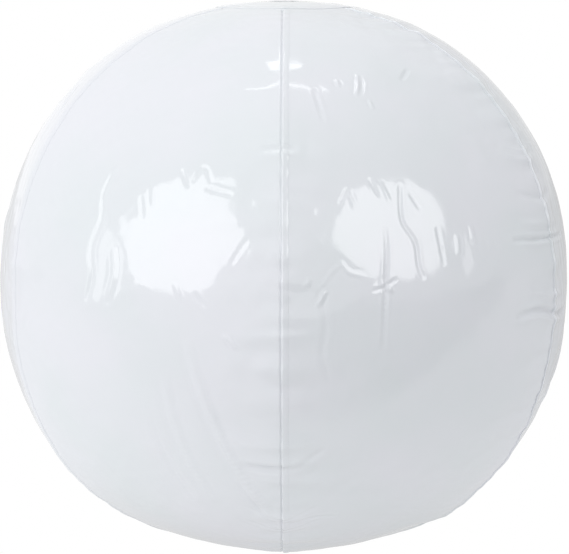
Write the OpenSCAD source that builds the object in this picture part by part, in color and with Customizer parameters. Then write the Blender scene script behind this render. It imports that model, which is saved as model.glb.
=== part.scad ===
// Inflatable beach ball: six welded film panels, two end discs and a push-in valve in the top disc.
// Millimetres, +Z up. The origin is the centre of the bottom face, and the front seam faces -Y.

/* [Ball] */
// Radius at the middle of a panel, at the widest level
panel_r = 200; // [180:5:240]
// Height of the top above the widest level, as a share of panel_r
top_share = 0.977; // [0.97:0.001:0.985]
// Depth of the bottom below the widest level, as a share of panel_r
bottom_share = 0.943; // [0.93:0.001:0.96]
// How far behind the ball's axis a panel's sideways curve is centred, as a share of panel_r
side_flatness = 0.42; // [0.3:0.01:0.5]
// How far behind the ball's axis the upper half's lengthways curve is centred, as a share of panel_r
upper_fullness = 0.05; // [0.03:0.01:0.06]

/* [Film] */
// Thickness of the film
film = 0.3; // [0.3:0.05:0.5]
// Width of the welded lap beside each seam
lap_w = 4; // [3:0.5:6]
// Thickness of the lap, squeezed thinner than the film by the weld
lap_t = 0.24; // [0.12:0.01:0.28]
// Width over which a panel steps up onto its neighbour
step_w = 0.8; // [0.5:0.1:1.5]

/* [End discs] */
// Radius of each end disc
disc_r = 48; // [44:1:52]
// Radius of the hole that the panels' cut tips leave under a disc
tip_r = 36; // [30:1:40]
// Radius of the hole in the top disc for the valve
valve_hole_r = 10; // [9.8:0.1:12]

/* [Valve] */
// Radius of the flange welded under the top disc
flange_r = 16; // [14:0.5:20]
// Inner radius of the flange
flange_in_r = 9.2; // [9:0.1:9.5]
// Thickness of the flange
flange_t = 1.2; // [1:0.1:2]
// Outer radius of the stem
stem_r = 4.3; // [4.1:0.1:4.6]
// Radius of the bore that takes the pump nozzle
bore_r = 2.9; // [2.8:0.05:3]
// Length of the nozzle bore
bore_l = 8.8; // [7:0.1:10]
// Radius of the wider mouth that takes the plug
mouth_r = 3.2; // [3.1:0.05:3.3]
// Depth of the mouth
mouth_l = 4.2; // [4:0.1:5]
// Radius of the rim and of the plug's head
rim_r = 5.5; // [5.2:0.1:5.8]
// Thickness of the rim
rim_t = 1.2; // [1:0.1:1.6]
// Thickness of the plug's head
head_t = 1.4; // [1.2:0.1:1.8]
// Length of the plug below its head
plug_l = 3.5; // [3:0.1:3.6]
// Radius of the plug at its head
plug_top_r = 3.05; // [3:0.05:3.1]
// Radius of the plug at its tip
plug_tip_r = 2.4; // [2.2:0.05:2.45]
// Distance from the stem's axis to the strap's hinge line
hinge_x = 7.5; // [7.2:0.1:7.8]
// Thickness of the strap
strap_t = 0.9; // [0.8:0.05:1]
// Width of the strap
strap_w = 3.2; // [2.5:0.1:4]
// Thickness of the flexible collar
collar_t = 0.7; // [0.5:0.05:0.9]
// Radius of the check flap
flap_r = 3.9; // [3.7:0.1:4.1]
// Thickness of the check flap
flap_t = 0.6; // [0.5:0.05:0.8]

/* [Hidden] */
$fn = 120;

// Angle that one panel covers, and the turn from +X to the middle of each panel
panel_angle = 360 / 6;
front_right_turn = -60;
right_turn = 0;
rear_right_turn = 60;
rear_left_turn = 120;
left_turn = 180;
front_left_turn = 240;

// Heights of the widest level and of the flat crown that carries the top disc
mid_z = film + bottom_share * panel_r;
crown_z = mid_z + top_share * panel_r;

// Radius within which a panel's end is flat, so that a round disc lies flat on it
flat_r = disc_r + 0.5;
// Gap between an end disc and the laps that stop at its edge
lap_gap = 0.3;
// Distance that clears the whole ball, for cutting tools
reach = 2 * panel_r;
side_shift = side_flatness * panel_r;
// Sweep of the revolved band that a panel is cut from
band_sweep = 64;

// Gap between faces that part when the valve is worked
seat_gap = 0.05;
head_top_z = crown_z + film;
rim_z = head_top_z - head_t - seat_gap;
stem_bottom_z = rim_z - mouth_l - bore_l;
hinge_z = rim_z + seat_gap + strap_t / 2;
// Room between the strap's rounded end and the lug under it
hinge_gap = 0.1;
// How far the lug and the pull tab reach from the stem's axis
lug_reach = hinge_x + 0.4;
tab_reach = 8.2;
// Height of the flexible collar, the thickness of its foot and the inner radius just above the foot
collar_drop = 9.6;
collar_foot_t = 1.2;
waist_r = stem_r + 1.6;
// Top face of the check flap, and the distance from the stem's axis to its hinge line
flap_z = stem_bottom_z - seat_gap;
flap_hinge_x = 4.2;
// How far a cutting tool runs past the face that it cuts
cut = 1;

ball_colour = [0.94, 0.95, 0.97];
disc_colour = [0.93, 0.94, 0.96];
valve_colour = [0.90, 0.91, 0.93];

// Radius of the shoulder arc that joins the long arc to the flat crown, both tangent
function shoulder_r(rise, back) =
    (pow(panel_r + back, 2) - pow(flat_r + back, 2) - pow(rise, 2)) / (2 * (panel_r + back - rise));

// Slope of the line through both arcs' centres, where they meet
function join_angle(rise, back) =
    atan2(rise - shoulder_r(rise, back), flat_r + back);

// A ring from radius r1 to r2, kept between two angles less than 180 degrees apart
module ring_sector(r1, r2, a1, a2) {
    far = 4 * r2;
    difference() {
        intersection() {
            circle(r2);
            polygon([[0, 0], far * [cos(a1), sin(a1)], far * [cos((a1 + a2) / 2), sin((a1 + a2) / 2)],
                far * [cos(a2), sin(a2)]]);
        }
        circle(r1);
    }
}

// Upper or lower half of the band between two distances outside the panels' outer face
module half_band(rise, back, near, far) {
    join = join_angle(rise, back);
    bend_r = shoulder_r(rise, back);
    translate([-back, 0])
        ring_sector(panel_r + back + near, panel_r + back + far, 0, join);
    translate([flat_r, rise - bend_r])
        ring_sector(bend_r + near, bend_r + far, join, 90);
    translate([tip_r / 2, rise + near])
        square([flat_r - tip_r / 2, far - near]);
}

// Film lying between two distances outside a panel's outer face, for the panel that faces +X
module gore_band(near, far) {
    translate([-side_shift, 0, mid_z])
        rotate([0, 0, -band_sweep / 2])
            rotate_extrude(angle = band_sweep)
                translate([side_shift, 0]) {
                    half_band(top_share * panel_r, upper_fullness * panel_r, near, far);
                    mirror([0, 1])
                        half_band(bottom_share * panel_r, 0, near, far);
                }
}

// One panel facing +X. Its left edge steps up and laps over the next panel.
module panel() {
    color(ball_colour)
        union() {
            intersection() {
                gore_band(-film, 0);
                panel_wedge();
            }
            intersection() {
                gore_band(-film, film);
                seam_slab(-step_w, step_w);
            }
            intersection() {
                rotate([0, 0, panel_angle])
                    gore_band(0, lap_t);
                seam_slab(0, lap_w);
            }
        }
}

// The space of one panel, less the strip where its left edge steps up
module panel_wedge() {
    half = panel_angle / 2;
    end = reach * [1, tan(half)];
    translate([0, 0, -cut])
        difference() {
            linear_extrude(2 * panel_r + 2 * cut)
                polygon([[0, 0], [end[0], -end[1]], end]);
            translate([0, 0, -cut])
                cylinder(r = tip_r, h = 2 * panel_r + 4 * cut);
            seam_slab(-step_w, step_w + cut);
        }
}

// An upright slab along the seam at the panel's left edge, from a signed distance past the seam.
// It starts where the laps stop, just outside the end discs.
module seam_slab(start, width) {
    rotate([0, 0, panel_angle / 2])
        translate([disc_r + lap_gap, start, -2 * cut])
            cube([reach, width, 2 * panel_r + 4 * cut]);
}

module bottom_disc() {
    color(disc_colour)
        cylinder(r = disc_r, h = film);
}

module top_disc() {
    color(disc_colour)
        translate([0, 0, crown_z])
            difference() {
                cylinder(r = disc_r, h = film);
                translate([0, 0, -cut])
                    cylinder(r = valve_hole_r, h = film + 2 * cut);
            }
}

module valve_flange() {
    color(valve_colour)
        translate([0, 0, crown_z - flange_t])
            difference() {
                cylinder(r = flange_r, h = flange_t);
                translate([0, 0, -cut])
                    cylinder(r = flange_in_r, h = flange_t + 2 * cut);
            }
}

// Thin flexible wall from the flange's underside down to the stem
module valve_collar() {
    top_z = crown_z - flange_t;
    foot_z = top_z - collar_drop;
    color(valve_colour)
        rotate_extrude()
            polygon([
                [flange_in_r, top_z], [flange_in_r + collar_t, top_z],
                [waist_r + collar_t, foot_z], [stem_r, foot_z],
                [stem_r, foot_z + collar_foot_t], [waist_r, foot_z + collar_foot_t]
            ]);
}

module valve_stem() {
    color(valve_colour)
        difference() {
            union() {
                translate([0, 0, stem_bottom_z])
                    cylinder(r = stem_r, h = rim_z - stem_bottom_z);
                translate([0, 0, rim_z - rim_t])
                    cylinder(r = rim_r, h = rim_t);
                translate([-lug_reach, -strap_w / 2, rim_z - rim_t])
                    cube([lug_reach, strap_w, rim_t - hinge_gap]);
            }
            translate([0, 0, stem_bottom_z - cut])
                cylinder(r = bore_r, h = bore_l + 2 * cut);
            translate([0, 0, rim_z - mouth_l])
                cylinder(r = mouth_r, h = mouth_l + cut);
        }
}

// Head, tapered plug, pull tab and the strap that it swings on
module valve_plug() {
    head_z = rim_z + seat_gap;
    color(valve_colour) {
        translate([0, 0, head_z])
            cylinder(r = rim_r, h = head_t);
        translate([0, 0, head_z - plug_l])
            cylinder(r1 = plug_tip_r, r2 = plug_top_r, h = plug_l);
        translate([0, -strap_w / 2, head_z])
            cube([tab_reach, strap_w, strap_t]);
        translate([-hinge_x, -strap_w / 2, head_z])
            cube([hinge_x, strap_w, strap_t]);
        translate([-hinge_x, strap_w / 2, hinge_z])
            rotate([90, 0, 0])
                cylinder(r = strap_t / 2, h = strap_w);
    }
}

// Leaf under the stem that air pressure holds shut, with a rounded hinge at its tail
module check_flap() {
    color(valve_colour)
        translate([0, 0, flap_z - flap_t]) {
            cylinder(r = flap_r, h = flap_t);
            translate([-flap_hinge_x, -strap_w / 2, 0])
                cube([flap_hinge_x, strap_w, flap_t]);
            translate([-flap_hinge_x, strap_w / 2, flap_t / 2])
                rotate([90, 0, 0])
                    cylinder(r = flap_t / 2, h = strap_w);
        }
}

rotate([0, 0, front_right_turn]) panel();  // panel_front_right
rotate([0, 0, right_turn]) panel();  // panel_right
rotate([0, 0, rear_right_turn]) panel();  // panel_rear_right
rotate([0, 0, rear_left_turn]) panel();  // panel_rear_left
rotate([0, 0, left_turn]) panel();  // panel_left
rotate([0, 0, front_left_turn]) panel();  // panel_front_left
bottom_disc();
top_disc();
valve_flange();
valve_collar();
valve_stem();
valve_plug();
check_flap();
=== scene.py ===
"""Inflatable beach ball: six glossy film panels with puckered seams, two end discs and a push-in valve."""

import math

import bmesh
import bpy
import numpy as np
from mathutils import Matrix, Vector


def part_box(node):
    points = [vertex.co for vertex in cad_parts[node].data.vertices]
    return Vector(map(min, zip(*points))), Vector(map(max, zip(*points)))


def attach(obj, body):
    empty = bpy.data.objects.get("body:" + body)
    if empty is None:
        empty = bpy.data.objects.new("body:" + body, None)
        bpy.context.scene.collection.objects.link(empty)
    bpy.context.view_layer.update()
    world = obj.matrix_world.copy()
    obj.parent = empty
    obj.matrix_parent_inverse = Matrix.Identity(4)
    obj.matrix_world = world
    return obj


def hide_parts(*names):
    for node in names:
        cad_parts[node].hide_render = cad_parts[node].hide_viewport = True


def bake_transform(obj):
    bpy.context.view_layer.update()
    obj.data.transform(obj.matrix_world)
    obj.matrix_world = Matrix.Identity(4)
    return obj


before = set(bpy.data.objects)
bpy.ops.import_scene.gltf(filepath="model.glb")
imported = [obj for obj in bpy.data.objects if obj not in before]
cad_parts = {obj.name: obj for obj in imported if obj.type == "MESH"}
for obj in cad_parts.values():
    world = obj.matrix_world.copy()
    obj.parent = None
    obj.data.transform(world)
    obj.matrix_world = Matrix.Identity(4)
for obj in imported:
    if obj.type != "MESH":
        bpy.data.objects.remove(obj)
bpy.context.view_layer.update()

MM = 0.001

# The ball's size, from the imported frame
PANEL_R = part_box("panel_right")[1].x
CROWN_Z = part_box("top_disc")[0].z
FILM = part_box("top_disc")[1].z - CROWN_Z
DISC_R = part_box("top_disc")[1].x
VALVE_HOLE_R = 10 * MM
FLANGE_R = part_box("valve_flange")[1].x
FLANGE_BOTTOM, FLANGE_TOP = (c.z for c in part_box("valve_flange"))

# The ball's shape: heights of its halves and how its sideways section swells between round and six-sided
TOP_SHARE = 0.977
BOTTOM_SHARE = 0.943
MID_Z = FILM + (CROWN_Z - FILM) * BOTTOM_SHARE / (TOP_SHARE + BOTTOM_SHARE)
CROWN_POWER = 0.86
FLAT_MIDDLE = 0.264
FLAT_ENDS = 0.393
PANEL_ANGLE = 60
HALF_PANEL = math.radians(PANEL_ANGLE / 2)
TIP_R = 36 * MM

# Seams, numbered by sixths of a turn from the front one, which faces -Y
LAP = 4 * MM
RISE_WIDTH = 1.2 * MM
PANELS = {
    "panel_front_right": 0, "panel_right": 1, "panel_rear_right": 2,
    "panel_rear_left": 3, "panel_left": 4, "panel_front_left": 5,
}
ROWS = 510
MIDDLE_COLUMNS = 148
SEAM_STEPS = [0.35, 0.35, 0.35, 0.4, 0.5, 0.6, 0.8, 1.0, 1.2, 1.3, 1.4]
LAP_STEPS = [0.35, 0.7, 1.05, 1.45, 1.95, 2.6, 3.2, 3.6, 4.0]
INNER_STRIDE = 4


# ---------------------------------------------------------------- shape of the film

def smooth(low, high, x):
    t = np.clip((x - low) / (high - low), 0, 1)
    return t * t * (3 - 2 * t)


def swell(lon, lat):
    """How far the film stands out at a longitude, as a share of its distance at the middle of a panel."""
    across = np.mod(lon, 2 * HALF_PANEL) - HALF_PANEL
    flat = FLAT_MIDDLE + (FLAT_ENDS - FLAT_MIDDLE) * np.abs(np.sin(lat))
    return (1 - flat) + flat / np.cos(across)


def film_point(lon, lat):
    """Outer face of the smooth inflated film. Longitude runs from the front seam towards +X."""
    share = np.where(lat > 0, TOP_SHARE, BOTTOM_SHARE)
    reach = PANEL_R * np.cos(lat) ** CROWN_POWER * swell(lon, lat)
    return np.stack([
        reach * np.sin(lon), -reach * np.cos(lon), MID_Z + share * PANEL_R * np.sin(lat)], -1)


def film_normal(lon, lat):
    """Outward normal, taken on the panel that the point lies in, so that it stops cleanly at a seam."""
    step = 1e-4
    across = np.mod(lon, 2 * HALF_PANEL) - HALF_PANEL
    inner = lon - np.sign(across) * np.where(np.abs(across) > HALF_PANEL - 2 * step, 2 * step, 0)
    side = film_point(inner + step, lat) - film_point(inner - step, lat)
    up = film_point(inner, lat + step) - film_point(inner, lat - step)
    n = np.cross(side, up)
    return n / np.linalg.norm(n, axis=-1, keepdims=True)


def lat_at_reach(reach, upper):
    """Latitude at which the middle of a panel is this far from the axis."""
    lat = math.acos(min(1, (reach / PANEL_R) ** (1 / CROWN_POWER)))
    return lat if upper else -lat


LAT_TABLE = np.linspace(-math.pi / 2 + 1e-3, math.pi / 2 - 1e-3, 4001)
MID_LINE = film_point(np.full_like(LAT_TABLE, HALF_PANEL), LAT_TABLE)
ALONG_TABLE = np.concatenate([[0], np.cumsum(np.linalg.norm(np.diff(MID_LINE, axis=0), axis=1))])
ALONG_TABLE = ALONG_TABLE - np.interp(0, LAT_TABLE, ALONG_TABLE)


def along(lat):
    """Distance along a panel's middle line, from the widest level."""
    return np.interp(lat, LAT_TABLE, ALONG_TABLE)


# ---------------------------------------------------------------- wrinkles

class Waves:
    """Smooth noise made of sine waves in space, with wavelengths between two limits."""

    def __init__(self, seed, short, long, count=48):
        rng = np.random.default_rng(seed)
        way = rng.normal(size=(count, 3))
        way /= np.linalg.norm(way, axis=1, keepdims=True)
        self.k = way * (2 * np.pi / rng.uniform(short, long, (count, 1)))
        self.phase = rng.uniform(0, 2 * np.pi, count)
        self.gain = math.sqrt(2 / count)

    def __call__(self, p):
        total = np.zeros(p.shape[:-1])
        for k, phase in zip(self.k, self.phase):
            total += np.sin(p @ k + phase)
        return total * self.gain


SWELLS = Waves(11, 70 * MM, 140 * MM)
RIPPLES = Waves(12, 20 * MM, 38 * MM)
FLUTTER = Waves(13, 8 * MM, 15 * MM)
PATCHES = Waves(14, 60 * MM, 110 * MM, 24)
SWELL_HEIGHT = 0.22 * MM
RIPPLE_HEIGHT = 0.10 * MM
FLUTTER_HEIGHT = 0.04 * MM


def seam_calm(seam, place):
    """How much of the puckers' depth a seam has at a distance along it: least on the left seam
    and on the upper part of the front one."""
    if seam == 5:
        return 0.3
    if seam == 0 and place > 0.125:
        return 0.12
    return 0.6 if seam == 0 and place > 0.02 else 1


def seam_puckers(seam, beside, s):
    """Folds that run off one seam to both sides, where the welded edges hold more length than the panels.
    beside is the signed distance from the seam and s the distance along it."""
    rng = np.random.default_rng(100 + seam)
    total = np.zeros_like(s)
    reach = ALONG_TABLE[-1]
    place = -reach * 0.96
    while place < reach * 0.96:
        place += rng.uniform(5, 15) * MM
        calm = seam_calm(seam, place)
        depth = calm * rng.uniform(0.25, 1.0) * MM * rng.choice([-1, -1, 1])
        width = rng.uniform(2.6, 6.0) * MM
        left, right = rng.uniform(10, 42, 2) * MM
        tilt = rng.uniform(-0.2, 0.2)
        bow = rng.uniform(-3, 3)
        off = s - place - tilt * beside - bow * beside ** 2
        fade = np.exp(-(np.abs(beside) / np.where(beside < 0, left, right)) ** 2.2)
        width_here = width * (1 + 0.6 * np.abs(beside) / (20 * MM))
        total += depth * fade * np.exp(-(off / width_here) ** 2)
    return total


def seam_line(seam, beside, s):
    """The weld itself: a rounded ridge, a narrow groove and the raised edge of the upper film beside it."""
    rng = np.random.default_rng(200 + seam)
    waver = sum(rng.uniform(0.01, 0.04) * MM * np.sin(2 * np.pi * s / (w * MM) + rng.uniform(0, 6.28))
                for w in (11, 17, 29, 61))
    x = beside - waver
    rounding = -0.45 * MM * np.clip(1 - np.abs(beside) / (14 * MM), 0, 1) ** 2
    groove = -0.75 * MM * np.exp(-((x + 0.8 * MM) / (0.5 * MM)) ** 2)
    past = np.maximum(x, 0)
    lip = 0.5 * MM * (1 - np.exp(-(past / (0.35 * MM)) ** 2)) * np.exp(-past / (2.6 * MM))
    return rounding + (0.35 if seam == 5 else 1) * (groove + lip)


# Single creases on the front and right-hand panels: points as (longitude, latitude) in degrees, then width
# and depth in mm. A negative depth is a raised fold. Many of the points were worked out by another program
# from places in the photograph.
FRONT_CREASES = [
    ([(-17, -3), (-14.5, -13), (-10, -27), (-3, -43)], 2.6, -0.42),
    ([(-22, -10), (-20.2, -24), (-16, -39)], 2.6, -0.26),
    ([(-26, -16), (-24, -30), (-20, -44)], 2.4, 0.16),
    ([(-9, -34), (-5, -42), (-1, -49)], 1.6, 0.25),
    ([(-7.5, -28.8), (-2, -29.3), (4.5, -28.8)], 2.6, 0.80),
    ([(3.5, -28.2), (8, -24.5)], 2.0, 0.28),
    ([(-3.8, 34), (-0.5, 34.4), (2.4, 34.2)], 2.2, 0.60),
    ([(19.5, 18), (19.3, 13.5), (18.8, 8), (18.4, 2), (18.2, -3.5)], 1.4, 0.42),
    ([(23.6, 26), (23.0, 22), (23.2, 19), (25.3, 15.2), (25.6, 11), (26.4, 8.8)], 1.3, 0.42),
    ([(30.3, 17.5), (30.6, 14.5), (31, 11)], 1.2, 0.40),
    ([(34.6, 15.8), (34.5, 12.4)], 1.2, -0.40),
    ([(38.2, 17.6), (38.6, 14.2)], 1.1, -0.38),
    ([(42.2, 14.6), (43.2, 13)], 1.1, -0.32),
    ([(7, 8.5), (9, 11), (10.5, 12)], 1.3, -0.14),
    ([(10.5, 12.4), (12, 10.6), (14.5, 9.8)], 1.3, -0.18),
    ([(11.0, 23.4), (12.4, 25.8)], 1.2, 0.34),
    ([(12.8, 25.0), (13.6, 22.4)], 1.2, -0.26),
    ([(17.4, 27.6), (18.8, 24.4)], 1.2, 0.34),
    ([(19.8, 26.4), (20.9, 23.2)], 1.2, -0.26),
    ([(25.5, 24.5), (27.2, 21.5)], 1.2, 0.28),
    ([(16.4, 7.0), (18.5, 7.5), (20.8, 8.8)], 1.1, 0.34),
    ([(7.4, 7.2), (6.4, 5.0)], 1.3, -0.46),
    ([(4.7, 9.6), (4.0, 8.2)], 1.2, -0.26),
    ([(18, 8.4), (20, 6.6)], 1.3, -0.40),
    ([(7, 6), (7.6, 1), (7, -4), (8.2, -9)], 1.8, 0.22),
    ([(-10, -1), (-8, -3.2)], 1.4, -0.45),
    ([(-8.8, 12.4), (-7.4, 14.8), (-6.2, 16.6)], 1.3, 0.24),
    ([(-17.6, 27.2), (-16.4, 29.6), (-15.2, 29.8), (-13.9, 27.2)], 1.2, 0.26),
    ([(-20.4, 29.2), (-18.8, 26.2)], 1.2, 0.32),
    ([(-14.6, 26.0), (-12.2, 25.4), (-9.8, 25.0)], 1.3, 0.34),
    ([(-15.5, 6.4), (-13.8, 4.4)], 1.2, 0.26),
    ([(-19.5, 8.0), (-18.2, 5.2)], 1.2, -0.24),
    ([(-36.4, 29), (-37.6, 24), (-36.8, 19), (-38.2, 13), (-37.4, 8), (-38.4, 3.5)], 1.7, 0.42),
    ([(-33.0, 13.5), (-32.4, 9), (-33.4, 4.5)], 1.9, -0.34),
    ([(-28.6, 23.5), (-27.4, 20)], 1.2, 0.30),
    ([(-26.4, 25.6), (-25.6, 22.4)], 1.2, -0.26),
    ([(7.8, 47.4), (8.2, 45), (9.0, 40.5)], 1.4, 0.30),
    ([(14.1, 50.0), (14.5, 48.4)], 1.1, -0.36),
    ([(20.4, 51.0), (19.6, 48.5), (18.4, 46.0)], 1.1, -0.36),
    ([(21.6, 50.4), (21.0, 48.4), (19.8, 46.2)], 1.1, 0.30),
    ([(21.3, 44.4), (21.7, 42.6)], 1.1, -0.34),
    ([(33.5, 49.4), (36, 51), (38, 52.2)], 1.4, 0.36),
    ([(46, 78), (50.5, 77.5), (54, 78.5)], 1.8, 0.50),
    ([(70, 12.2), (62, 12.9), (55, 13.2), (49, 13.8)], 1.6, 1.1),
    ([(66, 15.4), (58, 15.8), (52, 16.8)], 2.2, -0.40),
    ([(70, -3.4), (62, -2.4), (55, -0.6), (49, -0.9)], 2.2, 1.4),
    ([(66, 1.2), (58, 2.2), (52, 3.4)], 2.0, -0.45),
    ([(66, 22), (60, 21), (53, 22.5)], 2.0, 0.45),
    ([(65, 31), (59, 30), (54, 31.5)], 2.0, 0.40),
    ([(-8, -41), (0, -45), (8, -41)], 1.4, 0.20),
    ([(-9, -46), (0, -50), (9, -46)], 1.4, 0.20),
    ([(2, -47), (7, -45), (13, -45)], 1.3, 0.24),
]


def random_creases():
    """Handling creases scattered over the panels that the front list doesn't reach."""
    rng = np.random.default_rng(31)
    creases = []
    for panel in range(1, 5):
        for _ in range(15):
            lon = PANEL_ANGLE * panel + rng.uniform(3, 57)
            lat = rng.uniform(-52, 55)
            turn = rng.normal(math.pi / 2, 0.6)
            long = rng.uniform(2.5, 8.5)
            bend = rng.uniform(-0.35, 0.35)
            points = [
                (lon + f * long * math.cos(turn + bend * f) / max(0.5, math.cos(math.radians(lat))),
                 lat + f * long * math.sin(turn + bend * f)) for f in (-1, -0.4, 0.3, 1)]
            depth = rng.uniform(0.2, 0.5) * rng.choice([1, 1, -1])
            creases.append((points, rng.uniform(1.3, 2.4), depth))
    return creases


def crease_path(points):
    """Closely spaced points in space along a crease, with each one's share of the full depth."""
    p = np.array(points, float)
    t = np.linspace(0, len(p) - 1, 14 * (len(p) - 1) + 1)
    i = np.clip(t.astype(int), 0, len(p) - 2)
    f = (t - i)[:, None]
    before, after = p[np.maximum(i - 1, 0)], p[np.minimum(i + 2, len(p) - 1)]
    a, b = p[i], p[i + 1]
    curve = 0.5 * (2 * a + (b - before) * f + (2 * before - 5 * a + 4 * b - after) * f ** 2
                   + (3 * a - before - 3 * b + after) * f ** 3)
    lon, lat = np.radians(curve.T)
    share = np.sin(np.pi * np.linspace(0.04, 0.96, len(t))) ** 0.6
    return film_point(lon, lat), share


# How much deeper the creases stand than their listed depths
CREASE_GAIN = 1.6


def crease_depth(at, creases):
    """Total displacement of the listed creases at points on the film."""
    total = np.zeros(len(at))
    for points, width, depth in creases:
        path, share = crease_path(points)
        width, depth = width * MM, depth * MM
        centre = path.mean(0)
        radius = np.linalg.norm(path - centre, axis=1).max() + 5 * width
        near = np.nonzero(np.linalg.norm(at - centre, axis=1) < radius)[0]
        if not len(near):
            continue
        gap = np.linalg.norm(at[near, None, :] - path[None], axis=2)
        nearest = gap.argmin(1)
        d = gap[np.arange(len(near)), nearest] / width
        shape = np.exp(-d ** 2) - 0.32 * np.exp(-((d - 1.9) / 0.9) ** 2)
        total[near] -= CREASE_GAIN * depth * share[nearest] * shape
    return total


CREASES = FRONT_CREASES + random_creases()


# Where the film is pulled smooth: longitude and latitude in degrees, radius in mm, and the share of the
# wrinkles that is lost
TIGHT_SPOTS = [(0, 51, 46, 0.75), (8, 16, 24, 0.6)]


def tightness(at):
    """Share of the wrinkles left at points on the film."""
    left = 1
    for lon, lat, radius, lost in TIGHT_SPOTS:
        spot = film_point(np.radians(float(lon)), np.radians(float(lat)))
        left = left * (1 - lost * np.exp(-(np.linalg.norm(at - spot, axis=-1) / (radius * MM)) ** 4))
    return left


def wrinkles(lon, lat):
    """Displacement of the film along its normal, everywhere on the ball."""
    at = film_point(lon, lat)
    s = along(lat)
    reach = np.hypot(at[..., 0], at[..., 1])
    seam = np.round(lon / (2 * HALF_PANEL)).astype(int)
    beside = reach * (lon - seam * 2 * HALF_PANEL)
    ends = smooth(44 * MM, 66 * MM, reach)
    tight = tightness(at)
    total = SWELL_HEIGHT * SWELLS(at)
    near_seam = np.exp(-(np.abs(beside) / (34 * MM)) ** 2)
    patch = 0.5 + 0.5 * np.tanh(1.3 * PATCHES(at))
    total += RIPPLE_HEIGHT * RIPPLES(at) * (0.35 + 0.65 * patch + 0.5 * near_seam)
    total += FLUTTER_HEIGHT * FLUTTER(at) * (0.2 + 0.8 * patch + 0.8 * near_seam)
    total *= tight
    for number in np.unique(seam):
        here = seam == number
        total[here] += tight[here] * seam_puckers(number % 6, beside[here], s[here])
    total += crease_depth(at.reshape(-1, 3), CREASES).reshape(total.shape)
    total *= ends
    for number in np.unique(seam):
        here = seam == number
        past_disc = smooth(DISC_R, DISC_R + 3 * MM, reach[here])
        total[here] += seam_line(number % 6, beside[here], s[here]) * past_disc
    return total


# ---------------------------------------------------------------- mesh helpers

def add_mesh(name, points, faces, material, slot):
    mesh = bpy.data.meshes.new(name)
    mesh.from_pydata([tuple(p) for p in points], [], [tuple(f) for f in faces])
    mesh.validate()
    mesh.update()
    obj = bpy.data.objects.new(name, mesh)
    bpy.context.scene.collection.objects.link(obj)
    mesh.materials.append(material)
    mesh.shade_smooth()
    mesh.set_sharp_from_angle(angle=math.radians(50))
    return obj


def strided(count, keep_from):
    """Every few indices up to one index, and every one after it."""
    kept = set(range(0, keep_from, INNER_STRIDE)) | set(range(keep_from, count)) | {count - 1}
    return np.array(sorted(kept))


def lowest_nearby(values, rows, cols):
    """The smallest value around each kept grid point, which keeps the coarse inner face under the outer."""
    low = values
    for axis in (0, 1):
        for shift in range(1, INNER_STRIDE + 1):
            low = np.minimum(low, np.minimum(np.roll(values, shift, axis), np.roll(values, -shift, axis)))
        values = low
    return low[np.ix_(rows, cols)]


def grid_shell(outer, inner, rows, cols):
    """Points and faces of a closed shell between a fine outer grid and a coarse inner one."""
    index = np.arange(outer.shape[0] * outer.shape[1]).reshape(outer.shape[:2])
    under = index.size + np.arange(len(rows) * len(cols)).reshape(len(rows), len(cols))

    def quads(grid, a, b, c, d):
        corners = [grid[:-1, :-1], grid[:-1, 1:], grid[1:, 1:], grid[1:, :-1]]
        return np.stack([corners[i].ravel() for i in (a, b, c, d)], 1).tolist()

    def side(edge, kept, low, flip):
        strips = []
        for k in range(len(kept) - 1):
            strip = list(edge[kept[k]:kept[k + 1] + 1]) + [low[k + 1], low[k]]
            strips.append(strip[::-1] if flip else strip)
        return strips

    faces = quads(index, 0, 1, 2, 3) + quads(under, 0, 3, 2, 1)
    faces += side(index[0], cols, under[0], True) + side(index[-1], cols, under[-1], False)
    faces += side(index[:, 0], rows, under[:, 0], False) + side(index[:, -1], rows, under[:, -1], True)
    return np.concatenate([outer.reshape(-1, 3), inner.reshape(-1, 3)]), faces


def rounded(corners, radius, steps=4):
    """A closed outline with each corner turned into a small arc."""
    p = np.array(corners, float)
    out = []
    for i, here in enumerate(p):
        back, on = p[i - 1] - here, p[(i + 1) % len(p)] - here
        lb, lo = np.linalg.norm(back), np.linalg.norm(on)
        cut = min(radius, 0.45 * lb, 0.45 * lo)
        a, b = here + back / lb * cut, here + on / lo * cut
        for t in np.linspace(0, 1, steps):
            out.append((1 - t) ** 2 * a + 2 * t * (1 - t) * here + t * t * b)
    return np.array(out)


def lathe(outline, turns=96):
    """Points and faces of a ring: a closed outline of (radius, height) turned about the valve's axis."""
    angles = np.linspace(0, 2 * np.pi, turns, endpoint=False)
    r, z = outline[:, 0], outline[:, 1]
    points = np.stack([
        np.outer(np.cos(angles), r), np.outer(np.sin(angles), r), np.tile(z, (turns, 1))], -1).reshape(-1, 3)
    n = len(outline)
    i, j = np.meshgrid(np.arange(turns), np.arange(n), indexing="ij")
    a, b = i * n + j, i * n + (j + 1) % n
    c, d = ((i + 1) % turns) * n + (j + 1) % n, ((i + 1) % turns) * n + j
    return points, np.stack([a.ravel(), b.ravel(), c.ravel(), d.ravel()], 1)


def solid_lathe(outline, turns=96):
    """The same for an open outline that starts and ends on the axis."""
    angles = np.linspace(0, 2 * np.pi, turns, endpoint=False)
    ring = outline[1:-1]
    n = len(ring)
    points = [(0, 0, outline[0][1]), (0, 0, outline[-1][1])]
    for a in angles:
        points += [(r * math.cos(a), r * math.sin(a), z) for r, z in ring]
    faces = []
    for i in range(turns):
        here, there = 2 + i * n, 2 + ((i + 1) % turns) * n
        faces.append((0, here, there))
        faces += [(here + j, here + j + 1, there + j + 1, there + j) for j in range(n - 1)]
        faces.append((here + n - 1, 1, there + n - 1))
    return np.array(points), faces


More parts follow.
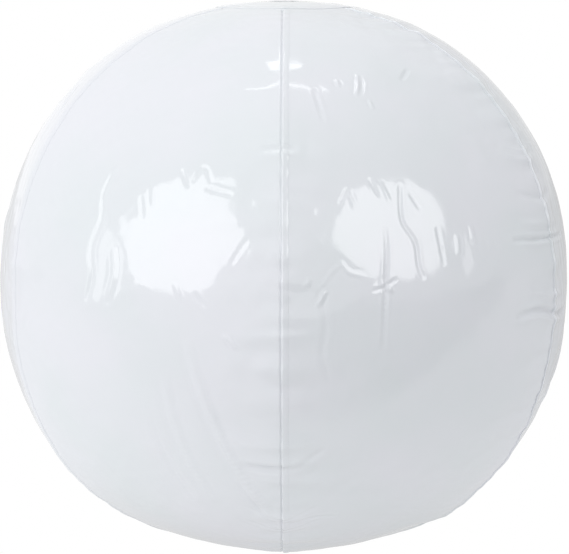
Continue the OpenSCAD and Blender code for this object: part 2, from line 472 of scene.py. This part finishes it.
def prism(outline, low, high, bevel):
    """Points and faces of an upright plate with this outline in plan and softened edges."""
    mesh = bmesh.new()
    base = [mesh.verts.new((x, y, low)) for x, y in outline]
    bottom = mesh.faces.new(base)
    top = bmesh.ops.extrude_face_region(mesh, geom=[bottom])
    lifted = [v for v in top["geom"] if isinstance(v, bmesh.types.BMVert)]
    bmesh.ops.translate(mesh, vec=(0, 0, high - low), verts=lifted)
    bmesh.ops.recalc_face_normals(mesh, faces=mesh.faces)
    rims = [e for e in mesh.edges if abs(e.verts[0].co.z - e.verts[1].co.z) < 1e-9]
    bmesh.ops.bevel(
        mesh, geom=rims, offset=bevel, segments=3, profile=0.5, affect="EDGES", clamp_overlap=True)
    points = np.array([v.co for v in mesh.verts])
    faces = [[v.index for v in f.verts] for f in mesh.faces]
    mesh.free()
    return points, faces


def fused(name, parts, material, slot):
    """One closed piece made from overlapping closed shapes."""
    pieces = [add_mesh(f"{name}_part{i}", p, f, material, slot) for i, (p, f) in enumerate(parts)]
    for obj in pieces:
        mesh = bmesh.new()
        mesh.from_mesh(obj.data)
        bmesh.ops.recalc_face_normals(mesh, faces=mesh.faces)
        mesh.to_mesh(obj.data)
        mesh.free()
    first = pieces[0]
    for other in pieces[1:]:
        join = first.modifiers.new("join", "BOOLEAN")
        join.operation = "UNION"
        join.solver = "EXACT"
        join.object = other
        graph = bpy.context.evaluated_depsgraph_get()
        result = bpy.data.meshes.new_from_object(first.evaluated_get(graph))
        first.modifiers.clear()
        first.data = result
        bpy.data.objects.remove(other)
    first.name = name
    first.data.name = name
    first.data.shade_smooth()
    first.data.set_sharp_from_angle(angle=math.radians(40))
    return first


# ---------------------------------------------------------------- panels and discs

def panel_columns(number):
    """Places across a panel from one seam, 0, to the next, 1: finest at the seams and among creases."""
    near = np.cumsum(SEAM_STEPS) * MM
    width = 2 * PANEL_R * HALF_PANEL
    u = np.linspace(0, 1, 2001)
    density = 1 + (1.0 if number == 0 else 0) * np.exp(-((u - 0.31) / 0.25) ** 4)
    total = np.concatenate([[0], np.cumsum((density[1:] + density[:-1]) / 2)])
    middle = np.interp(np.linspace(0, 1, MIDDLE_COLUMNS + 2)[1:-1], total / total[-1], u)
    middle = near[-1] + middle * (width - 2 * near[-1])
    return np.concatenate([[0], near, middle, width - near[::-1], [width]]) / width


def make_panel(name, number, material):
    """A film panel from its starting seam to the next one, with the lap that covers the next panel's edge."""
    lats = np.interp(
        np.linspace(along(lat_at_reach(TIP_R, False)), along(lat_at_reach(TIP_R, True)), ROWS),
        ALONG_TABLE, LAT_TABLE)
    share = panel_columns(number)
    lap = np.array(LAP_STEPS) * MM
    start = number * 2 * HALF_PANEL
    seam = start + 2 * HALF_PANEL
    lat = np.repeat(lats[:, None], len(share) + len(lap), 1)
    reach = np.linalg.norm(film_point(np.full_like(lats, seam), lats)[:, :2], axis=1)[:, None]
    lap_room = smooth(DISC_R + 0.3 * MM, DISC_R + 4 * MM, reach)
    between_seams = start + share[None] * (seam - start) + 0 * reach
    lon = np.concatenate([between_seams, seam + lap_room * lap / reach + 1e-6], 1)
    beyond = (lon - seam) * reach
    lift = FILM * smooth(-RISE_WIDTH, 0, beyond) * lap_room * (1 - 0.55 * smooth(2.5 * MM, LAP, beyond))
    normal = film_normal(lon, lat)
    base = film_point(lon, lat)
    move = wrinkles(lon, lat)
    outer = base + normal * (move + lift)[..., None]
    rows, cols = strided(ROWS, ROWS), strided(lon.shape[1], len(share) - 5)
    under = lowest_nearby(move, rows, cols) + np.where(beyond > 0, 0.02 * MM, -FILM)[np.ix_(rows, cols)]
    inner = base[np.ix_(rows, cols)] + normal[np.ix_(rows, cols)] * under[..., None]
    obj = add_mesh(name, *grid_shell(outer, inner, rows, cols), material, "panel_film")
    weld = np.maximum(np.exp(-(beyond / (3.2 * MM)) ** 4), np.exp(-((lon - start) * reach / (3.2 * MM)) ** 4))
    both = np.concatenate([weld.ravel(), weld[np.ix_(rows, cols)].ravel()])
    obj.data.attributes.new("weld", "FLOAT", "POINT").data.foreach_set("value", both.astype(np.float32))
    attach(obj, "ball")
    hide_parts(name)
    return obj


def disc_height(reach, lon, upper):
    """Height of the panels' outer face under an end disc."""
    lat_sign = 1 if upper else -1
    stands = swell(lon, lat_sign * 1.2)
    lat = lat_sign * np.arccos(np.clip((reach / stands / PANEL_R) ** (1 / CROWN_POWER), 0, 1))
    share = TOP_SHARE if upper else BOTTOM_SHARE
    return MID_Z + share * PANEL_R * np.sin(lat)


def make_disc(name, upper, hole_r, material):
    """A round film disc welded over the panels' tips."""
    turns = 360
    rng = np.random.default_rng(41 if upper else 42)
    rim_rings = DISC_R - np.array([0.6, 0.3, 0.1, 0]) * MM
    rings = np.concatenate([np.linspace(hole_r, DISC_R - 1 * MM, 60), rim_rings])
    lon = np.linspace(0, 2 * np.pi, turns + 1)[None, :]
    reach = rings[:, None] + 0 * lon
    lon = lon + 0 * reach
    out = 1 if upper else -1
    flat_r = FLANGE_R + 1 * MM
    level = disc_height(np.full_like(reach, flat_r), np.full_like(reach, HALF_PANEL), upper)
    height = disc_height(reach, lon, upper)
    settle = 1 - smooth(flat_r, TIP_R, reach)
    crown = CROWN_Z if upper else FILM
    height = height + settle * (crown - level)
    height = np.where(reach < flat_r, crown, height)
    weld = -0.16 * MM * (np.exp(-((reach - DISC_R + 2.2 * MM) / (0.7 * MM)) ** 2)
                         + np.exp(-((reach - DISC_R + 9.5 * MM) / (0.8 * MM)) ** 2))
    folds = np.zeros_like(reach)
    for _ in range(26):
        at, wide = rng.uniform(0, 2 * np.pi), rng.uniform(0.02, 0.05)
        from_edge = rng.uniform(8, 24) * MM
        turn = np.angle(np.exp(1j * (lon - at)))
        folds += rng.uniform(-0.25, 0.2) * MM * np.exp(-(turn / wide) ** 2) * smooth(
            DISC_R - from_edge, DISC_R - 5 * MM, reach) * (1 - 0.8 * smooth(DISC_R - 4 * MM, DISC_R, reach))
    seam_turn = np.abs(np.mod(lon + HALF_PANEL, 2 * HALF_PANEL) - HALF_PANEL) * reach
    ribs = 0.25 * MM * np.exp(-(seam_turn / (2 * MM)) ** 2) * smooth(TIP_R, TIP_R + 3 * MM, reach)
    if upper:
        flange = 0.22 * MM * smooth(FLANGE_R + 0.8 * MM, FLANGE_R - 0.2 * MM, reach)
        marks = sum(0.12 * MM * np.exp(-((reach - r * MM) / (0.35 * MM)) ** 2) for r in (11.6, 13.2, 14.8))
    else:
        flange, marks = 0, 0
    shape = weld + folds + ribs + flange - marks
    rim_drop = 0.12 * MM * smooth(DISC_R - 0.4 * MM, DISC_R, reach)
    x, y = reach * np.sin(lon), -reach * np.cos(lon)
    outer = np.stack([x, y, height + out * (FILM + shape - rim_drop)], -1)
    inside_tips = 1 - smooth(TIP_R, TIP_R + 2 * MM, reach)
    inner = np.stack([x, y, height + out * (shape * inside_tips + 0.01 * MM)], -1)
    return ring_piece(name, outer, inner, upper, hole_r, material)


def ring_piece(name, outer, inner, upper, hole_r, material):
    """Closes a disc's grid on itself, and its middle too where it has no hole."""
    rows, cols = outer.shape[0], outer.shape[1] - 1
    points = np.concatenate([outer[:, :-1].reshape(-1, 3), inner[:, :-1].reshape(-1, 3)])
    i, j = np.meshgrid(np.arange(rows - 1), np.arange(cols), indexing="ij")
    a, b = i * cols + j, i * cols + (j + 1) % cols
    c, d = (i + 1) * cols + (j + 1) % cols, (i + 1) * cols + j
    under = rows * cols
    top = np.stack([a.ravel(), d.ravel(), c.ravel(), b.ravel()], 1)
    faces = [top, top[:, ::-1] + under]
    ring = np.arange(cols)
    on = (ring + 1) % cols
    last = (rows - 1) * cols
    faces.append(np.stack([last + ring, last + ring + under, last + on + under, last + on], 1))
    if hole_r > 1 * MM:
        faces.append(np.stack([ring, on, on + under, ring + under], 1))
        faces = np.concatenate(faces).tolist()
    else:
        faces = np.concatenate(faces).tolist()
        middle = len(points)
        points = np.concatenate([points, [outer[0].mean(0)], [inner[0].mean(0)]])
        faces += [[middle, int(p), int(q)] for p, q in zip(ring, on)]
        faces += [[middle + 1, int(q) + under, int(p) + under] for p, q in zip(ring, on)]
    obj = add_mesh(name, points, faces, material, "disc_film")
    mesh = bmesh.new()
    mesh.from_mesh(obj.data)
    bmesh.ops.recalc_face_normals(mesh, faces=mesh.faces)
    mesh.to_mesh(obj.data)
    mesh.free()
    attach(obj, "ball")
    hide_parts(name)
    return obj


# ---------------------------------------------------------------- materials

def new_material(name):
    material = bpy.data.materials.new(name)
    material.use_nodes = True
    nodes = material.node_tree.nodes
    nodes.clear()
    output = nodes.new("ShaderNodeOutputMaterial")
    shader = nodes.new("ShaderNodeBsdfPrincipled")
    material.node_tree.links.new(shader.outputs["BSDF"], output.inputs["Surface"])
    return material, nodes, material.node_tree.links, shader


def noise(nodes, links, scale, detail, source):
    texture = nodes.new("ShaderNodeTexNoise")
    texture.inputs["Scale"].default_value = scale
    texture.inputs["Detail"].default_value = detail
    links.new(source.outputs["Object"], texture.inputs["Vector"])
    return texture


def film_material(name, colour, shade, welds):
    """Glossy white PVC film: faint cloudiness, patches of smoother gloss, fine orange peel, weld bands."""
    material, nodes, links, shader = new_material(name)
    place = nodes.new("ShaderNodeTexCoord")
    cloud = noise(nodes, links, 14, 3, place)
    tint = nodes.new("ShaderNodeMix")
    tint.data_type = "RGBA"
    tint.inputs["A"].default_value = (*colour, 1)
    tint.inputs["B"].default_value = (*shade, 1)
    spread = nodes.new("ShaderNodeMapRange")
    spread.inputs["From Min"].default_value = 0.35
    spread.inputs["From Max"].default_value = 0.7
    links.new(cloud.outputs["Fac"], spread.inputs["Value"])
    links.new(spread.outputs["Result"], tint.inputs["Factor"])
    colour_out = tint.outputs["Result"]
    smudge = noise(nodes, links, 55, 5, place)
    rough = nodes.new("ShaderNodeMapRange")
    rough.inputs["From Min"].default_value = 0.3
    rough.inputs["From Max"].default_value = 0.75
    rough.inputs["To Min"].default_value = 0.045
    rough.inputs["To Max"].default_value = 0.115
    links.new(smudge.outputs["Fac"], rough.inputs["Value"])
    rough_out = rough.outputs["Result"]
    if welds:
        weld = nodes.new("ShaderNodeAttribute")
        weld.attribute_name = "weld"
        more = nodes.new("ShaderNodeMath")
        more.operation = "MULTIPLY_ADD"
        more.inputs[1].default_value = 0.10
        links.new(weld.outputs["Fac"], more.inputs[0])
        links.new(rough_out, more.inputs[2])
        rough_out = more.outputs["Value"]
    links.new(colour_out, shader.inputs["Base Color"])
    links.new(rough_out, shader.inputs["Roughness"])
    peel = noise(nodes, links, 420, 2, place)
    wave = noise(nodes, links, 95, 3, place)
    both = nodes.new("ShaderNodeMath")
    both.operation = "MULTIPLY_ADD"
    both.inputs[1].default_value = 0.12
    links.new(peel.outputs["Fac"], both.inputs[0])
    links.new(wave.outputs["Fac"], both.inputs[2])
    bump = nodes.new("ShaderNodeBump")
    bump.inputs["Strength"].default_value = 0.5
    bump.inputs["Distance"].default_value = 0.00012
    links.new(both.outputs["Value"], bump.inputs["Height"])
    links.new(bump.outputs["Normal"], shader.inputs["Normal"])
    shader.inputs["IOR"].default_value = 1.53
    return material


def vinyl_material():
    """Soft moulded vinyl of the valve: satin."""
    material, nodes, links, shader = new_material("valve_vinyl")
    place = nodes.new("ShaderNodeTexCoord")
    cloud = noise(nodes, links, 240, 4, place)
    tint = nodes.new("ShaderNodeMix")
    tint.data_type = "RGBA"
    tint.inputs["A"].default_value = (0.70, 0.725, 0.75, 1)
    tint.inputs["B"].default_value = (0.62, 0.65, 0.68, 1)
    links.new(cloud.outputs["Fac"], tint.inputs["Factor"])
    links.new(tint.outputs["Result"], shader.inputs["Base Color"])
    rough = nodes.new("ShaderNodeMapRange")
    rough.inputs["To Min"].default_value = 0.2
    rough.inputs["To Max"].default_value = 0.42
    links.new(cloud.outputs["Fac"], rough.inputs["Value"])
    links.new(rough.outputs["Result"], shader.inputs["Roughness"])
    grain = noise(nodes, links, 1800, 3, place)
    bump = nodes.new("ShaderNodeBump")
    bump.inputs["Strength"].default_value = 0.35
    bump.inputs["Distance"].default_value = 0.00005
    links.new(grain.outputs["Fac"], bump.inputs["Height"])
    links.new(bump.outputs["Normal"], shader.inputs["Normal"])
    shader.inputs["IOR"].default_value = 1.5
    shader.inputs["Subsurface Weight"].default_value = 0.15
    shader.inputs["Subsurface Radius"].default_value = (0.002, 0.002, 0.002)
    return material


# ---------------------------------------------------------------- valve

STEM_LOW, STEM_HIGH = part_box("valve_stem")
PLUG_LOW, PLUG_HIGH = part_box("valve_plug")
FLAP_LOW, FLAP_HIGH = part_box("check_flap")
COLLAR_LOW, COLLAR_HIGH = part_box("valve_collar")
RIM_Z = STEM_HIGH.z
RIM_R = 5.5 * MM
RIM_T = 1.2 * MM
STEM_R = 4.3 * MM
BORE_R = 2.9 * MM
MOUTH_R = 3.2 * MM
MOUTH_DEPTH = 4.2 * MM
STRAP_W = 3.2 * MM
STRAP_T = 0.9 * MM
HEAD_Z = RIM_Z + 0.05 * MM
HINGE_X = 7.5 * MM


def make_flange(material):
    inner = 9.2 * MM
    outline = rounded([(inner, FLANGE_BOTTOM), (FLANGE_R, FLANGE_BOTTOM), (FLANGE_R, FLANGE_TOP),
                       (inner, FLANGE_TOP)], 0.4 * MM)
    obj = add_mesh("valve_flange", *lathe(outline), material, "valve_vinyl")
    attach(obj, "ball")
    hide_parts("valve_flange")


def make_collar(material):
    """Flexible wall from the flange to the stem."""
    top, low = COLLAR_HIGH.z, COLLAR_LOW.z
    waist = STEM_R + 1.6 * MM
    wall = 0.7 * MM
    inner, outer = [], []
    for t in np.linspace(0, 1, 18):
        z = top + (low + 1.2 * MM - top) * t
        r = 9.2 * MM + (waist - 9.2 * MM) * t
        wave = 0.12 * MM * math.sin(3 * 2 * math.pi * t) * math.sin(math.pi * t)
        inner.append((r + wave, z))
        outer.append((r + wall + wave, z - (1.2 * MM if t > 0.98 else 0)))
    outline = np.array(inner + [(STEM_R, low + 1.2 * MM), (STEM_R, low)] + outer[::-1])
    obj = add_mesh("valve_collar", *lathe(outline), material, "valve_vinyl")
    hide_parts("valve_collar")
    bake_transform(obj)


def lug_outline(reach, width, nose):
    """Plan of a strap that runs from the axis to -X or +X and ends in a round nose."""
    half = width / 2
    side = math.copysign(1, reach)
    tip = abs(reach) - nose
    points = [(0, -half * side)]
    for a in np.linspace(-90, 90, 13):
        points.append((side * (tip + nose * math.cos(math.radians(a))),
                       side * half * math.sin(math.radians(a))))
    points.append((0, half * side))
    return points


def make_stem(material):
    low, top = STEM_LOW.z, RIM_Z
    step = top - MOUTH_DEPTH
    outline = rounded([
        (BORE_R, low), (STEM_R, low), (STEM_R, top - RIM_T), (RIM_R, top - RIM_T), (RIM_R, top),
        (MOUTH_R, top), (MOUTH_R, step), (BORE_R, step)], 0.25 * MM)
    tube = lathe(outline)
    lug_low, lug_high = top - RIM_T, top - 0.1 * MM
    lug = prism([(x, y) for x, y in [
        (-4.2 * MM, -STRAP_W / 2), (-4.2 * MM, STRAP_W / 2), (STEM_LOW.x, STRAP_W / 2),
        (STEM_LOW.x, -STRAP_W / 2)]], lug_low, lug_high, 0.2 * MM)
    obj = fused("valve_stem", [tube, lug], material, "valve_vinyl")
    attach(obj, "stem")
    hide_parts("valve_stem")


def make_plug(material):
    """Plug with a dished head, a gripping tab and the strap that it swings on."""
    head_top = PLUG_HIGH.z
    tip = PLUG_LOW.z
    outline = [(0, tip), (1.9 * MM, tip), (2.35 * MM, tip + 0.35 * MM), (3.0 * MM, HEAD_Z - 0.3 * MM),
               (3.15 * MM, HEAD_Z), (RIM_R - 0.25 * MM, HEAD_Z), (RIM_R, HEAD_Z + 0.25 * MM),
               (RIM_R, head_top - 0.35 * MM), (RIM_R - 0.12 * MM, head_top - 0.1 * MM),
               (RIM_R - 0.4 * MM, head_top), (RIM_R - 1.1 * MM, head_top),
               (RIM_R - 1.5 * MM, head_top - 0.25 * MM),
               (0, head_top - 0.3 * MM)]
    parts = [solid_lathe(outline)]
    parts.append(prism(lug_outline(PLUG_HIGH.x, STRAP_W, 1.2 * MM), HEAD_Z, HEAD_Z + STRAP_T, 0.22 * MM))
    neck = [
        (-HINGE_X, -STRAP_W / 2), (-4 * MM, -STRAP_W / 2), (-4 * MM, STRAP_W / 2), (-HINGE_X, STRAP_W / 2)]
    parts.append(prism(neck, HEAD_Z + 0.08 * MM, HEAD_Z + STRAP_T - 0.08 * MM, 0.1 * MM))
    parts.append(cross_rod(-HINGE_X, HEAD_Z + STRAP_T / 2, STRAP_T / 2, STRAP_W))
    for x in (6.0, 6.8, 7.6):
        parts.append(cross_rod(x * MM, HEAD_Z + STRAP_T - 0.05 * MM, 0.2 * MM, STRAP_W * 0.6))
    obj = fused("valve_plug", parts, material, "valve_vinyl")
    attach(obj, "plug")
    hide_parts("valve_plug")


def cross_rod(x, z, radius, width):
    """A rod across the strap, parallel to Y."""
    outline = [
        (0, -width / 2), (radius * 0.8, -width / 2), (radius, -width / 2 + 0.05 * MM),
        (radius, width / 2 - 0.05 * MM), (radius * 0.8, width / 2), (0, width / 2)]
    points, faces = solid_lathe(outline, 20)
    return np.stack([x + points[:, 0], points[:, 2], z + points[:, 1]], 1), faces


def make_flap(material):
    low, high = FLAP_LOW.z, FLAP_HIGH.z
    radius = 3.9 * MM
    leaf = solid_lathe([(0, low), (radius - 0.2 * MM, low), (radius, low + 0.2 * MM),
                        (radius, high - 0.1 * MM), (radius - 0.1 * MM, high), (0, high)])
    tail = prism([(-4.2 * MM, -STRAP_W / 2), (-3 * MM, -STRAP_W / 2), (-3 * MM, STRAP_W / 2),
                  (-4.2 * MM, STRAP_W / 2)], low + 0.05 * MM, high - 0.05 * MM, 0.08 * MM)
    rod = cross_rod(-4.2 * MM, (low + high) / 2, 0.3 * MM, STRAP_W)
    obj = fused("check_flap", [leaf, tail, rod], material, "valve_vinyl")
    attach(obj, "flap")
    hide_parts("check_flap")


# ---------------------------------------------------------------- studio

CENTRE = Vector((0, 0, MID_Z))
TABLE_EDGE_Y = -0.30


def direction(azimuth, elevation):
    """Unit vector from the ball's centre. Azimuth 0 is the front, -Y, and grows towards +X."""
    a, e = math.radians(azimuth), math.radians(elevation)
    return Vector((math.cos(e) * math.sin(a), -math.cos(e) * math.cos(a), math.sin(e)))


LAMP_DISTANCE = 1.6


def softbox(name, azimuth, elevation, width, height, radiance, gloss_only=True, rounded_off=True):
    """A lamp that faces the ball, sized in degrees as the ball sees it. It gives only highlights or only
    even light."""
    data = bpy.data.lights.new(name, "AREA")
    data.shape = "ELLIPSE" if rounded_off else "RECTANGLE"
    data.size = 2 * LAMP_DISTANCE * math.tan(math.radians(width / 2))
    data.size_y = 2 * LAMP_DISTANCE * math.tan(math.radians(height / 2))
    data.energy = radiance * 4 * data.size * data.size_y
    lamp = bpy.data.objects.new(name, data)
    bpy.context.scene.collection.objects.link(lamp)
    toward = direction(azimuth, elevation)
    lamp.location = CENTRE + toward * LAMP_DISTANCE
    lamp.rotation_euler = toward.to_track_quat("Z", "Y").to_euler()
    lamp.visible_camera = False
    lamp.visible_diffuse = not gloss_only
    lamp.visible_glossy = gloss_only
    return lamp


def map_range(nodes, links, source, low, high, to_low, to_high):
    node = nodes.new("ShaderNodeMapRange")
    node.interpolation_type = "SMOOTHSTEP"
    for name, value in (("From Min", low), ("From Max", high), ("To Min", to_low), ("To Max", to_high)):
        node.inputs[name].default_value = value
    links.new(source, node.inputs["Value"])
    return node.outputs["Result"]


def math_node(nodes, links, operation, a, b):
    node = nodes.new("ShaderNodeMath")
    node.operation = operation
    for socket, value in zip(node.inputs, (a, b)):
        if isinstance(value, (int, float)):
            socket.default_value = value
        else:
            links.new(value, socket)
    return node.outputs["Value"]


def studio_world():
    """Surroundings that the camera sees as white. Their light on the ball falls off to the right, and behind
    it low down."""
    world = bpy.data.worlds.new("studio")
    bpy.context.scene.world = world
    world.use_nodes = True
    nodes, links = world.node_tree.nodes, world.node_tree.links
    nodes.clear()
    output = nodes.new("ShaderNodeOutputWorld")
    seen = nodes.new("ShaderNodeBackground")
    seen.inputs["Color"].default_value = (1, 1, 1, 1)
    light = nodes.new("ShaderNodeBackground")
    light.inputs["Color"].default_value = (1, 1, 1, 1)
    mix = nodes.new("ShaderNodeMixShader")
    path = nodes.new("ShaderNodeLightPath")
    place = nodes.new("ShaderNodeTexCoord")
    split = nodes.new("ShaderNodeSeparateXYZ")
    links.new(place.outputs["Generated"], split.inputs[0])
    sideways = map_range(nodes, links, split.outputs["X"], 0.1, 1.0, 1.06, 0.62)
    behind = map_range(nodes, links, split.outputs["Y"], -0.1, 0.5, 0, 0.25)
    low = map_range(nodes, links, split.outputs["Z"], 0.35, 0.75, 1, 0)
    right = map_range(nodes, links, split.outputs["X"], -0.15, 0.2, 0.1, 1)
    dimmed = math_node(nodes, links, "MULTIPLY", math_node(nodes, links, "MULTIPLY", behind, low), right)
    links.new(math_node(nodes, links, "SUBTRACT", sideways, dimmed), light.inputs["Strength"])
    links.new(path.outputs["Is Camera Ray"], mix.inputs["Fac"])
    links.new(light.outputs["Background"], mix.inputs[1])
    links.new(seen.outputs["Background"], mix.inputs[2])
    links.new(mix.outputs["Shader"], output.inputs["Surface"])


def studio_floor():
    """A large glowing floor that the camera sees as white. Its light on the ball is weaker towards the right,
    in front of an edge, behind the ball and close under it."""
    mesh = bpy.data.meshes.new("floor")
    half = 6.0
    corners = [(-half, -half, 0), (half, -half, 0), (half, half, 0), (-half, half, 0)]
    mesh.from_pydata(corners, [], [(0, 1, 2, 3)])
    floor = bpy.data.objects.new("floor", mesh)
    bpy.context.scene.collection.objects.link(floor)
    floor.location.z = -0.2 * MM
    material = bpy.data.materials.new("floor_white")
    material.use_nodes = True
    nodes, links = material.node_tree.nodes, material.node_tree.links
    nodes.clear()
    output = nodes.new("ShaderNodeOutputMaterial")
    glow = nodes.new("ShaderNodeEmission")
    glow.inputs["Color"].default_value = (1, 1, 1, 1)
    path = nodes.new("ShaderNodeLightPath")
    place = nodes.new("ShaderNodeTexCoord")
    split = nodes.new("ShaderNodeSeparateXYZ")
    links.new(place.outputs["Object"], split.inputs[0])
    near = map_range(nodes, links, split.outputs["X"], -0.3, 0.4, 1.04, 0.86)
    beyond = map_range(nodes, links, split.outputs["X"], -0.3, 0.4, 0.9, 0.2)
    edge = map_range(nodes, links, split.outputs["Y"], TABLE_EDGE_Y - 0.03, TABLE_EDGE_Y + 0.02, 0, 1)
    rise = math_node(nodes, links, "MULTIPLY", edge, math_node(nodes, links, "SUBTRACT", near, beyond))
    behind = map_range(nodes, links, split.outputs["Y"], 0.05, 0.4, 1, 0.72)
    light = math_node(nodes, links, "MULTIPLY", behind, math_node(nodes, links, "ADD", beyond, rise))
    reach = nodes.new("ShaderNodeVectorMath")
    reach.operation = "LENGTH"
    links.new(place.outputs["Object"], reach.inputs[0])
    under = map_range(nodes, links, reach.outputs["Value"], 0.05, 0.26, 0.72, 1)
    light = math_node(nodes, links, "MULTIPLY", light, under)
    strength = math_node(nodes, links, "MAXIMUM", light, path.outputs["Is Camera Ray"])
    links.new(strength, glow.inputs["Strength"])
    links.new(glow.outputs["Emission"], output.inputs["Surface"])
    mesh.materials.append(material)


def studio_lights():
    """Each lamp's azimuth, elevation, width and height are in degrees, as seen from the ball."""
    softbox("left_softbox", -46.2, 19.3, 30, 36, 1.6)
    softbox("right_softbox", 48.8, 20.5, 33, 32, 2.0)
    softbox("left_fill", -46, 20, 45, 40, 0.57, gloss_only=False)
    softbox("right_fill", 50, 20, 44, 38, 0.62, gloss_only=False)
    softbox("left_strip", -68, 6, 11, 22, 1.0)
    softbox("right_strip", 70, 10, 2.5, 10, 1.0)
    softbox("top_lamp", 180, 79.5, 20, 4.5, 2.8, rounded_off=False)
    softbox("top_lamp_behind", 180, 74.5, 10, 7, 2.8)
    softbox("top_strip", 180, 92.6, 36, 2.8, 2.2)


def photo_camera():
    """Camera level and distance that give the ball its apparent size and outline."""
    ball_radii = 7.1
    distance = ball_radii * PANEL_R
    lift = math.radians(9.4)
    yaw = math.radians(0.4)
    data = bpy.data.cameras.new("camera")
    data.sensor_width = 36
    ball_share = 0.9933
    data.lens = ball_share / 2 * math.sqrt(ball_radii ** 2 - 1) * data.sensor_width
    camera = bpy.data.objects.new("camera", data)
    bpy.context.scene.collection.objects.link(camera)
    away = Vector((math.sin(yaw) * math.cos(lift), -math.cos(yaw) * math.cos(lift), math.sin(lift)))
    camera.location = CENTRE + away * distance
    aim = CENTRE + Vector((0.2 * MM, 0, 0.6 * MM))
    camera.rotation_euler = (camera.location - aim).to_track_quat("Z", "Y").to_euler()
    bpy.context.scene.camera = camera


# ---------------------------------------------------------------- everything

bpy.context.scene.view_settings.view_transform = "Standard"
photo_camera()
studio_world()
studio_floor()
studio_lights()

panel_film = film_material("panel_film", (0.740, 0.755, 0.800), (0.712, 0.748, 0.777), True)
disc_film = film_material("disc_film", (0.736, 0.751, 0.795), (0.708, 0.744, 0.772), False)
vinyl = vinyl_material()
for panel_name, panel_number in PANELS.items():
    make_panel(panel_name, panel_number, panel_film)
make_disc("top_disc", True, VALVE_HOLE_R, disc_film)
make_disc("bottom_disc", False, 0.5 * MM, disc_film)
make_flange(vinyl)
make_collar(vinyl)
make_stem(vinyl)
make_plug(vinyl)
make_flap(vinyl)
